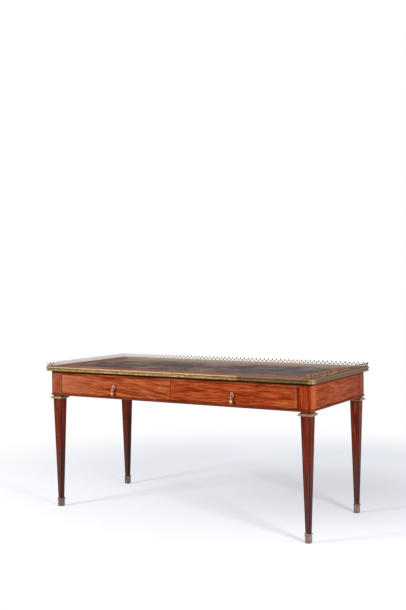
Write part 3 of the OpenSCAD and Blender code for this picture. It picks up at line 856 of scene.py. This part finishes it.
def arc(radius: float, middle: float, degrees: Iterable[float]) -> list[Span]:
    """Return profile points on a ball on the axis, at angles down from its top."""
    turns = [math.radians(angle) for angle in degrees]
    return [(radius * math.sin(turn), middle + radius * math.cos(turn)) for turn in turns]


def spun(profile: Sequence[Span], middle: Place, steps: int) -> Piece:
    """Turn a profile about an upright axis, as on a lathe.

    Args:
        profile: Radius and height of each point, from the top down, above the middle.
        middle: Place on the axis that the heights are measured from.
        steps: Number of steps round.

    Returns:
        The turned piece, closed and facing outwards.
    """
    centre = Vector(middle)
    first = centre + Vector((profile[0][0], 0, profile[0][1]))
    bpy.ops.mesh.primitive_plane_add(size=MM, location=first)
    piece = settled(bpy.context.object)
    bpy.ops.object.mode_set(mode="EDIT")
    bpy.ops.mesh.select_all(action="SELECT")
    bpy.ops.mesh.merge(type="CENTER")
    for (old_r, old_z), (new_r, new_z) in zip(profile, profile[1:]):
        step = (new_r - old_r, 0, new_z - old_z)
        bpy.ops.mesh.extrude_region_move(TRANSFORM_OT_translate={"value": step})
    bpy.ops.mesh.select_all(action="SELECT")
    bpy.ops.mesh.spin(steps=steps, angle=2 * math.pi, center=centre, axis=(0, 0, 1))
    bpy.ops.mesh.select_all(action="SELECT")
    bpy.ops.mesh.remove_doubles(threshold=MM / 1000)
    bpy.ops.mesh.normals_make_consistent(inside=False)
    bpy.ops.object.mode_set(mode="OBJECT")
    return piece


def joined(pieces: Sequence[Piece]) -> Piece:
    """Join pieces into the first one.

    Args:
        pieces: Pieces to join.

    Returns:
        The first one, which now holds them all.
    """
    take(*pieces)
    bpy.ops.object.join()
    return pieces[0]


def modify(piece: Piece, kind: str, **settings: object) -> None:
    """Add one modifier to a piece and apply it.

    Args:
        piece: Piece that gets it.
        kind: Type name of the modifier.
        **settings: Properties of the modifier.
    """
    take(piece)
    bpy.ops.object.modifier_add(type=kind)
    modifier = piece.modifiers[-1]
    for key, value in settings.items():
        setattr(modifier, key, value)
    bpy.ops.object.modifier_apply(modifier=modifier.name)


def cut(piece: Piece, tool: Piece) -> None:
    """Cut one piece by another, and clear the tool away."""
    modify(piece, "BOOLEAN", operation="DIFFERENCE", object=tool, solver="EXACT")
    bpy.data.objects.remove(tool)


def fuse(piece: Piece, other: Piece) -> None:
    """Fuse another piece into this one as one solid."""
    modify(piece, "BOOLEAN", operation="UNION", object=other, solver="EXACT")
    bpy.data.objects.remove(other)


def hand_over(piece: Piece, name: str, body: str, node: str) -> None:
    """Name a finished piece and put it in the place of its solid.

    Args:
        piece: The finished piece.
        name: Its name.
        body: Body that it rides on.
        node: Solid that it replaces.
    """
    piece.name = name
    piece.data.name = name
    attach(piece, body)
    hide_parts(node)
    log.info("%s: %d faces, rides on %s", name, len(piece.data.polygons), body)


def smooth(piece: Piece, degrees: float) -> None:
    """Shade a piece smooth where its faces meet at less than this angle."""
    take(piece)
    bpy.ops.object.shade_smooth_by_angle(angle=math.radians(degrees))


@dataclass
class Finishes:
    """Every finish of the desk, built once and shared by its pieces."""

    dirt_and_shade: DirtAndShade = DirtAndShade()

    def __post_init__(self) -> None:
        """Build the finishes."""
        self.front = Veneer(
            "frieze_front", Grain.ALONG_X, tone(112, 36, 14), tone(168, 74, 38), tone(196, 100, 56),
            shift=(0.3, 0, 0.2), dirt_and_shade=self.dirt_and_shade,
        ).build()
        deep = tone(104, 32, 12)
        self.side = Veneer(
            "frieze_side", Grain.ALONG_Y, deep, tone(162, 68, 30), tone(198, 104, 56),
            shift=(0, 0.7, 0.1), contrast=0.13, dirt_and_shade=self.dirt_and_shade,
            fades=(Fade(Y, deep, Step(0, 0.3, 0, 0.3)),),
        ).build()
        self.border_front = self.border("border_front", Grain.ALONG_X)
        # Painted reflection of the white backdrop: the back border's pale tones and the paler strip along
        # its back edge, fading off towards both ends.
        deep, backdrop_reflection = tone(132, 100, 80), tone(222, 202, 182)
        ends = (Fade(X, deep, Step(side * 0.15, side * 0.7, 0, 0.3)) for side in (-1, 1))
        self.border_back = Veneer(
            "border_back", Grain.ALONG_X, deep, tone(172, 140, 116), tone(204, 172, 148),
            shine=0.4, specular=0.16, fades=(Fade(Y, backdrop_reflection, Step(0.275, 0.335, 0, 0.5)), *ends),
        ).build()
        self.border_short = self.border("border_crosswise", Grain.ALONG_Y)
        self.carcase_x = self.inner("carcase_lengthwise", Grain.ALONG_X)
        self.carcase_y = self.inner("carcase_crosswise", Grain.ALONG_Y)
        self.lining_x = self.lining("lining_lengthwise", Grain.ALONG_X)
        self.lining_y = self.lining("lining_crosswise", Grain.ALONG_Y)
        self.leather = OldLeather(
            "writing_leather", tone(66, 50, 46), tone(108, 87, 78), tone(158, 134, 120),
            tone(210, 192, 180), tone(88, 88, 104), tone(192, 166, 146),
            scratches=(
                ((-0.11, -0.2), (-0.02, -0.17)), ((0.02, -0.2), (0.085, -0.21)),
                ((0.085, -0.21), (0.12, -0.09)),
            ),
        ).build()
        self.gallery = self.metal("gallery_metal", (152, 126, 84), (86, 68, 44), (34, 26, 17), 0.6)
        self.gallery_shaded = self.metal(
            "gallery_shaded_metal", (138, 98, 60), (76, 50, 30), (30, 19, 11), 0.6
        )
        self.collar = self.metal("collar_metal", (182, 150, 122), (118, 92, 66), (50, 38, 26), 0.6)
        # Lit and shaded copies of one shoe metal: the right shoes painted lighter and the left ones
        # darker, for the lamps.
        self.shoes = {
            Side.LEFT: self.metal("shoe_dark", (136, 115, 99), (94, 78, 66), (50, 36, 28), 0.7),
            Side.RIGHT: self.metal("shoe_lit", (172, 146, 128), (120, 98, 84), (52, 38, 30), 0.7),
        }
        self.handle = self.metal("handle_metal", (226, 180, 150), (190, 144, 116), (76, 50, 32), 0.15)
        self.plate = PlateMetal(
            "plate_metal", tone(204, 164, 136), tone(160, 122, 92), tone(76, 50, 32), 0.3
        ).build()
        self.iron = self.metal(
            "lock_case_iron", (128, 124, 120), (88, 84, 80), (54, 40, 32), 0.6, rough=0.45
        )
        self.bolt = self.metal("bolt_metal", (200, 168, 110), (150, 120, 76), (84, 64, 42), 0.3)

    def border(self, name: str, grain: Grain) -> Material:
        """Return the veneer of the border round the leather."""
        tones = (tone(116, 64, 44), tone(154, 96, 70), tone(188, 132, 104))
        return Veneer(name, grain, *tones, shine=0.46, specular=0.02).build()

    def inner(self, name: str, grain: Grain) -> Material:
        """Return the wood of the carcase."""
        return SecondaryWood(name, grain, tone(92, 62, 38), tone(158, 116, 76)).build()

    def lining(self, name: str, grain: Grain) -> Material:
        """Return the wood of the drawer linings."""
        return SecondaryWood(name, grain, tone(120, 84, 52), tone(186, 144, 98)).build()

    def metal(
        self, name: str, bright: Colour, dull: Colour, tarnish: Colour, spread: float, rough: float = 0.34
    ) -> Material:
        """Return a plain metal, its shades written from 0 to 255."""
        return AgedMetal(name, tone(*bright), tone(*dull), tone(*tarnish), spread, rough).build()


@dataclass
class CornerLeg:
    """One corner: post and tapered leg, moulded collar and foot shoe."""

    finishes: Finishes
    side: Side
    end: End
    shift: Place
    post_tones: Tones

    def node(self, part: str) -> str:
        """Return the name of one of this corner's solids."""
        return f"{part}_{self.end.value}_{self.side.value}"

    def dress(self) -> None:
        """Dress the leg with its own grain, and its metalwork."""
        low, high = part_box(self.node("shoe"))
        wood = LegVeneer(
            self.node("leg_veneer"), Grain.ALONG_Z, tone(86, 26, 14), tone(118, 44, 28), tone(150, 68, 46),
            shift=self.shift, sway=0.004, dirt_and_shade=self.finishes.dirt_and_shade, post_tones=self.post_tones,
            centre=((low.x + high.x) / 2, (low.y + high.y) / 2),
        ).build()
        dress_nodes(wood, self.node("leg"))
        dress_nodes(self.finishes.collar, self.node("collar"))
        dress_nodes(self.finishes.shoes[self.side], self.node("shoe"))


@dataclass
class Carcase:
    """Frieze boards, front rails and the rails and runners inside."""

    finishes: Finishes
    lengthwise: tuple[str, ...] = ("apron_back", "rail_front_upper", "rail_front_lower")
    crosswise: tuple[str, ...] = ("apron_left", "apron_right")
    inner: tuple[str, ...] = (
        "drawer_divider", "runner_left", "runner_right", "runner_middle",
        "kicker_left", "kicker_right", "kicker_middle",
    )

    def dress(self) -> None:
        """Dress the boards, each with the grain along its length."""
        dress_nodes(self.finishes.front, *self.lengthwise)
        dress_nodes(self.finishes.side, *self.crosswise)
        dress_nodes(self.finishes.carcase_y, *self.inner)
        dress_nodes(self.finishes.carcase_x, "top_core")


@dataclass
class WritingTop:
    """Leather, veneered border and moulded metal edge."""

    finishes: Finishes
    front_joints: tuple[float, ...] = (-0.565, -0.139, 0.283, 0.3895, 0.4906, 0.7502)
    brown_length: Span = (0.3895, 0.4906)

    def dress(self) -> None:
        """Dress the surface and its edge."""
        dress_nodes(self.finishes.border_front, "border_front")
        dress_nodes(self.finishes.border_back, "border_back")
        dress_nodes(self.finishes.border_short, "border_left", "border_right")
        dress_nodes(self.finishes.leather, "leather_inset")
        low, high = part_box("edge_front")
        metal = MouldingMetal(
            "moulding_metal", tone(168, 138, 92), tone(122, 99, 58), tone(72, 55, 32),
            groove_z=(low.z + high.z) / 2, joints=self.front_joints, brown=self.brown_length,
        ).build()
        dress_nodes(metal, "edge_front", "edge_back", "edge_left", "edge_right")


@dataclass
class GalleryRun:
    """One straight run of the pierced gallery: crossed bars, beaded tips and small rosettes."""

    node: str
    along: Place
    metal: Material
    posts: tuple[bool, bool] = (False, True)
    pitch: float = 0.025
    bar_width: float = 0.0022
    foot_height: float = 0.0016
    foot_bevel: float = 0.0004
    bud_height: float = 0.0076
    bud_radius: float = 0.0038
    bud_taper: float = 0.62
    bud_flat: float = 0.9
    rosette_radius: float = 0.0046
    rosette_flat: float = 0.55
    post_radius: float = 0.0013

    def __post_init__(self) -> None:
        """Measure the run on its solid, share it out into bays and find the way from X to its place."""
        low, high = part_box(self.node)
        size, middle = high - low, (low + high) / 2
        along = Vector(self.along)
        across = Vector((-along.y, along.x, 0))
        self.length, self.thick, self.height = abs(size.dot(along)), abs(size.dot(across)), size.z
        self.bays = max(1, round(self.length / self.pitch))
        self.width = self.length / self.bays
        start = Vector((middle.x, middle.y, low.z)) - along * self.length / 2
        turn = Matrix((along, across, (0, 0, 1))).transposed().to_4x4()
        self.matrix = Matrix.Translation(start) @ turn

    def bay(self) -> Piece:
        """Model one bay: two crossing bars, the rosette over their crossing and a beaded tip.

        Returns:
            The bay, at the start of a run along X.
        """
        low, high = self.foot_height, self.height - self.bud_height
        crossing = (self.width / 2, 0, (low + high) / 2)
        lean = math.atan2(self.width, high - low)
        parts = []
        for turn in (lean, -lean):
            leaning = rod(self.bar_width / 2, math.hypot(self.width, high - low), (0, 0, 0), sides=6)
            leaning.scale = (1, self.thick / self.bar_width, 1)
            leaning.rotation_euler = (0, turn, 0)
            leaning.location = crossing
            parts.append(settled(leaning))
        parts.append(ball(self.rosette_radius, crossing, (1, self.rosette_flat, 1), around=8, up=4))
        tall = self.bud_height / self.bud_radius * self.bud_taper
        tip = (self.width, 0, self.height - self.bud_radius * tall)
        parts.append(ball(self.bud_radius, tip, (1, self.bud_flat, tall), around=6, up=5))
        return joined(parts)

    def post(self, x: float) -> Piece:
        """Model one slim turned post with a ball on top.

        Args:
            x: Place of the post along the run.

        Returns:
            The post.
        """
        radius, height = self.post_radius, self.height
        knob = radius * 1.15
        neck = height - 2 * knob - 0.4 * MM
        profile = [(0, height), *arc(knob, height - knob, range(30, 160, 25))]
        profile += [
            (radius * 0.6, neck), (radius * 0.9, neck - MM), (radius * 0.7, neck - 1.8 * MM),
            (radius * 0.8, self.foot_height + 2 * MM), (radius, self.foot_height), (radius, 0), (0, 0),
        ]
        return spun(profile, (x, 0, 0), steps=10)

    def build(self) -> None:
        """Model whole bays on a foot strip, carry the run to its place and dress it."""
        run = self.bay()
        modify(
            run, "ARRAY", count=self.bays, use_relative_offset=False,
            use_constant_offset=True, constant_offset_displace=(self.width, 0, 0),
        )
        half = self.thick / 2
        strip = bar((0, -half, 0), (self.length, half, self.foot_height))
        modify(strip, "BEVEL", width=self.foot_bevel, segments=2)
        ends = zip((half, self.length - half), self.posts)
        run = joined([run, strip, *(self.post(x) for x, wanted in ends if wanted)])
        run.matrix_world = self.matrix @ run.matrix_world
        smooth(settled(run), degrees=50)
        dress(run, self.metal)
        hand_over(run, f"cast_{self.node}", "desk", self.node)


@dataclass
class Gallery:
    """Gallery round three sides of the top and a little way round both front corners."""

    finishes: Finishes

    def build(self) -> None:
        """Build every run, each with the direction in which it goes."""
        pale, shaded = self.finishes.gallery, self.finishes.gallery_shaded
        GalleryRun("gallery_back", (1, 0, 0), pale, (False, False)).build()
        GalleryRun("gallery_left", (0, 1, 0), shaded, (True, True)).build()
        GalleryRun("gallery_right", (0, 1, 0), pale, (True, True)).build()
        GalleryRun("gallery_front_left", (1, 0, 0), shaded).build()
        GalleryRun("gallery_front_right", (-1, 0, 0), pale).build()


@dataclass
class Drawer:
    """One drawer with its figured front, linings, lock, keyhole plate and pear drop."""

    finishes: Finishes
    side: Side
    lean: float
    shift: Place
    tones: Tones
    joints: Span
    paler: Step | None = None
    pale: Colour = tone(206, 132, 96)
    plate_lobes: tuple[Span, ...] = ((0.010, 0.0), (0.006, 0.008), (0.007, -0.011))
    rim: float = 0.0012
    rim_height: float = 0.0007
    plate_bevel: float = 0.0002
    key_radius: float = 0.0022
    slot_width: float = 0.002
    slot_length: float = 0.005
    eye_radius: float = 0.003
    eye_thick: float = 0.003
    eye_bevel: float = 0.0005
    pin_hole: float = 0.00105
    ball_radius: float = 0.0022
    belly_radius: float = 0.0092
    stem: tuple[Span, ...] = (
        (0, -0.002), (0.0014, -0.002), (0.0014, -0.0046), (0.0026, -0.005), (0.003, -0.0058),
        (0.0024, -0.0066), (0.0032, -0.0076), (0.0046, -0.009), (0.0062, -0.0109), (0.0076, -0.013),
    )

    def node(self, part: str) -> str:
        """Return the name of one of this drawer's solids."""
        return f"drawer_{self.side.value}_{part}"

    @property
    def body(self) -> str:
        """Body that the drawer's pieces ride on."""
        return f"drawer_{self.side.value}"

    def dress(self) -> None:
        """Dress the solids that keep their shape."""
        low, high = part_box(self.node("front"))
        front = DrawerVeneer(
            self.node("veneer"), Grain.ALONG_X, *self.tones, math.radians(self.lean), self.shift,
            dirt_and_shade=self.finishes.dirt_and_shade, ends=(low.x, high.x), joints=self.joints, pale_edge=self.pale,
            fades=(Fade(X, self.pale, self.paler),) if self.paler else (),
        ).build()
        dress_nodes(front, self.node("front"))
        dress_nodes(self.finishes.lining_y, self.node("side_outer"), self.node("side_middle"))
        dress_nodes(self.finishes.lining_x, self.node("back"), self.node("bottom"))
        dress_nodes(self.finishes.iron, self.node("lock"))
        dress_nodes(self.finishes.bolt, self.node("bolt"))
        dress_nodes(self.finishes.handle, self.node("post"))

    def lobes(self, key: Vector, inset: float, thick: float) -> Piece:
        """Model the three lobes of the plate as one solid.

        Args:
            key: Middle of the keyhole.
            inset: How far the outline is drawn in all round.
            thick: Thickness of the solid.

        Returns:
            The fused lobes.
        """
        first, *others = (
            rod(radius - inset, thick, key + Vector((0, 0, up)), LYING_Y, sides=40)
            for radius, up in self.plate_lobes
        )
        for other in others:
            fuse(first, other)
        return first

    def keyhole(self, key: Vector, grow: float, thick: float) -> Piece:
        """Model the outline of the keyhole as one solid.

        Args:
            key: Middle of its round part.
            grow: How far the outline is grown all round.
            thick: Thickness of the solid.

        Returns:
            The round part fused with the slot below it.
        """
        hole = rod(self.key_radius + grow, thick, key, LYING_Y, sides=32)
        half = Vector((self.slot_width / 2 + grow, thick / 2, 0))
        foot = Vector((0, 0, -self.key_radius - self.slot_length - grow))
        fuse(hole, bar(key - half + foot, key + half))
        return hole

    def plate(self) -> None:
        """Model the lobed keyhole plate with a raised rim and a raised lip round the keyhole."""
        low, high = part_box(self.node("plate"))
        thick = high.y - low.y
        low_radius, low_down = self.plate_lobes[-1]
        key = Vector(((low.x + high.x) / 2, (low.y + high.y) / 2, low.z + low_radius - low_down))
        piece = self.lobes(key, 0, thick)
        cut(piece, self.lobes(key + Vector((0, self.rim_height - thick, 0)), self.rim, thick))
        fuse(piece, self.keyhole(key, self.rim, thick))
        cut(piece, self.keyhole(key, 0, 3 * thick))
        modify(piece, "BEVEL", width=self.plate_bevel, segments=2, limit_method="ANGLE")
        smooth(piece, degrees=35)
        dress(piece, self.finishes.plate)
        name = f"keyhole_plate_{self.side.value}"
        hand_over(piece, name, self.body, self.node("plate"))

    def drop(self) -> None:
        """Model the pear drop, turned in one piece with the eye that hangs on the pin."""
        low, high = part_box(self.node("drop"))
        pin = Vector(((low.x + high.x) / 2, (low.y + high.y) / 2, high.z - self.eye_radius))
        foot = low.z - pin.z
        belly_z = foot + 1.5 * self.ball_radius + self.belly_radius
        outline = [
            *self.stem, *arc(self.belly_radius, belly_z, range(74, 165, 10)),
            *arc(self.ball_radius, foot + self.ball_radius, range(60, 180, 24)), (0, foot),
        ]
        pear = spun(outline, pin, steps=36)
        eye = rod(self.eye_radius, self.eye_thick, pin, LYING_X, sides=32)
        modify(eye, "BEVEL", width=self.eye_bevel, segments=3, limit_method="ANGLE")
        fuse(eye, pear)
        cut(eye, rod(self.pin_hole, 2 * self.eye_thick, pin, LYING_X, sides=24))
        smooth(eye, degrees=35)
        dress(eye, self.finishes.handle)
        side = self.side.value
        hand_over(eye, f"pear_drop_{side}", f"drop_{side}", self.node("drop"))

    def build(self) -> None:
        """Dress the drawer and model its metalwork."""
        self.dress()
        self.plate()
        self.drop()


@dataclass(frozen=True)
class Lamp:
    """One large soft lamp that looks at the desk."""

    name: str
    place: Place
    power: float
    size: float = 0.8
    aim: Place = (0, 0, 0.5)

    def hang(self) -> None:
        """Hang the lamp in its place and turn it."""
        data = bpy.data.lights.new(self.name, "AREA")
        data.shape = "SQUARE"
        data.size = self.size
        data.energy = self.power
        lamp = bpy.data.objects.new(self.name, data)
        bpy.context.scene.collection.objects.link(lamp)
        turn = (Vector(self.aim) - Vector(self.place)).to_track_quat("-Z", "Y").to_matrix().to_4x4()
        lamp.matrix_world = Matrix.Translation(self.place) @ turn


@dataclass
class Studio:
    """Plain pale floor, soft lamps and the camera."""

    camera_place: Place = (2.372825, -4.033408, 1.185761)
    yaw: float = 30.5381
    pitch: float = -1.2268
    roll: float = -0.5453
    lens: float = 52.209
    sensor: float = 36.0
    ambient: float = 0.35
    floor_half: float = 30.0
    floor_tone: Colour = tone(238, 239, 246)
    glow_tone: Colour = tone(244, 247, 255)
    # The floor glows least in an oval behind the desk: a painted shadow of the desk.
    glow: Step = Step(0.1, 0.95, 0.25, 0.45)
    glow_scale: Span = (0.75, 0.95)
    glow_shift: Span = (0.34, 0.62)
    far_white: Step = Step(1.0, 2.2)
    lamps: tuple[Lamp, ...] = (
        Lamp("soft_left", (-2.1, -3.2, 2), 60), Lamp("soft_right", (3.6, -1.9, 2), 75)
    )

    def camera(self) -> None:
        """Stand the camera where the desk was seen from."""
        data = bpy.data.cameras.new("view")
        data.sensor_width = self.sensor
        data.lens = self.lens
        view = bpy.data.objects.new("view", data)
        bpy.context.scene.collection.objects.link(view)
        turns = ((self.yaw, "Z"), (90 + self.pitch, "X"), (self.roll, "Z"))
        yaw, pitch, roll = (Matrix.Rotation(math.radians(angle), 4, axis) for angle, axis in turns)
        view.matrix_world = Matrix.Translation(self.camera_place) @ yaw @ pitch @ roll
        bpy.context.scene.camera = view

    def shown(self, graph: Graph) -> Wire:
        """Find what the camera sees directly, in a gloss or through glass.

        Args:
            graph: Tree to draw in.

        Returns:
            1 for what it sees, 0 for what only lights the rest.
        """
        rays = graph.add("ShaderNodeLightPath").outputs
        seen = Wire(graph, rays["Is Camera Ray"])
        for name in ("Is Glossy Ray", "Is Transmission Ray"):
            seen = graph.calc("MAXIMUM", seen, Wire(graph, rays[name]))
        return seen

    def world(self) -> None:
        """Light the room softly, and show it white."""
        graph = Graph(bpy.data.worlds.new("room"))
        strength = graph.wire("ShaderNodeMix", {0: self.shown(graph), 2: self.ambient, 3: 1.0})
        background = graph.wire("ShaderNodeBackground", {"Color": WHITE, "Strength": strength})
        graph.add("ShaderNodeOutputWorld", {"Surface": background})
        bpy.context.scene.world = graph.owner

    def floor(self) -> None:
        """Lay the floor, which keeps soft shadows near the desk, glows less in an oval behind it as a
        painted shadow, and goes white far away.
        """
        bpy.ops.mesh.primitive_plane_add(size=2 * self.floor_half, location=(0, 0, 0))
        floor = bpy.context.object
        floor.name = "floor"
        graph = Graph(bpy.data.materials.new("pale_floor"))
        scaled = zip(graph.axes, self.glow_scale, self.glow_shift)
        aside, back = (value * scale - shift for value, scale, shift in scaled)
        away = aside.hypot(back)
        shown = self.shown(graph)
        matt = graph.wire("ShaderNodeBsdfDiffuse", {"Color": (*self.floor_tone, 1)})
        feeds = {"Color": (*self.glow_tone, 1), "Strength": shown * away.grow(*self.glow)}
        near = graph.wire("ShaderNodeAddShader", {0: matt, 1: graph.wire("ShaderNodeEmission", feeds)})
        far = graph.wire("ShaderNodeEmission", {"Color": WHITE, "Strength": 1.0})
        feeds = {0: shown * away.grow(*self.far_white), 1: near, 2: far}
        graph.add("ShaderNodeOutputMaterial", {"Surface": graph.wire("ShaderNodeMixShader", feeds)})
        dress(floor, graph.owner)

    def build(self) -> None:
        """Set up the whole studio."""
        bpy.context.scene.view_settings.view_transform = "Standard"
        self.camera()
        self.world()
        self.floor()
        for lamp in self.lamps:
            lamp.hang()


def main() -> None:
    """Build the studio, then dress the desk from the legs to the gallery."""
    logging.basicConfig(level=logging.INFO, format="%(message)s")
    Studio().build()
    finishes = Finishes()
    # The third tone of each set is the post's right face, painted lighter or darker for the light on that
    # side.
    rosy = (tone(128, 50, 28), tone(204, 112, 74), tone(186, 96, 56))
    warm = (tone(108, 28, 8), tone(186, 76, 32), tone(214, 114, 58))
    brown = (tone(104, 30, 12), tone(178, 74, 36), tone(156, 78, 46))
    CornerLeg(finishes, Side.LEFT, End.FRONT, (0.1, 0.2, 0.3), rosy).dress()
    CornerLeg(finishes, Side.RIGHT, End.FRONT, (0.5, 0.1, 0.9), warm).dress()
    CornerLeg(finishes, Side.LEFT, End.BACK, (0.9, 0.7, 0.2), rosy).dress()
    CornerLeg(finishes, Side.RIGHT, End.BACK, (0.3, 0.8, 0.6), brown).dress()
    Carcase(finishes).dress()
    WritingTop(finishes).dress()
    Gallery(finishes).build()
    left_tones = (tone(120, 44, 18), tone(170, 76, 36), tone(206, 114, 66))
    right_tones = (tone(118, 38, 14), tone(168, 68, 28), tone(200, 100, 52))
    Drawer(
        finishes, Side.LEFT, -5, (0.2, 0, 0.05), left_tones, joints=(0.0065, 0),
        paler=Step(-0.7, -0.4, 0.38, 0),
    ).build()
    Drawer(finishes, Side.RIGHT, 0.6, (0.9, 0, 0.4), right_tones, joints=(0, 0.011)).build()


if __name__ == "__main__":
    main()
